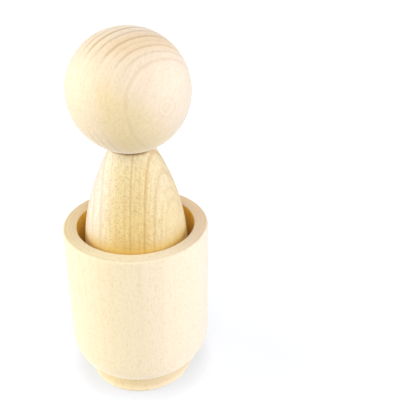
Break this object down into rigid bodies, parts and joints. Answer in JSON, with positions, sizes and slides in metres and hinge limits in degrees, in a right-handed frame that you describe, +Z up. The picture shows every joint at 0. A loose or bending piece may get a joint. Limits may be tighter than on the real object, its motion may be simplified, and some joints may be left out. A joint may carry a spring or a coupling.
{
  "type": "peg doll",
  "caption": "Plain turned wooden peg doll with a ball head on a tapering body, standing loose in a footed wooden cup it lifts out of.",
  "frame": {"origin": "on the floor at the centre of the cup's foot", "axes": "+Z up along the turning axis of the cup, the body and the head"},
  "size_m": [0.0584, 0.0584, 0.1475],
  "materials": {
    "cup_wood": "turned and sanded, unfinished",
    "body_wood": "turned and sanded, unfinished",
    "dowel_wood": "drawn dowel rod, cut and bevelled",
    "head_wood": "turned and sanded, unfinished"
  },
  "bodies": {
    "cup": {"cup": "cup_wood"},
    "doll": {"body": "body_wood", "neck_dowel": "dowel_wood", "head": "head_wood"}
  },
  "joints": [
    {"name": "doll_lift", "type": "slide", "parent": "cup", "child": "doll", "axis": [0, 0, 1], "range_m": [0, 0.065]}
  ]
}
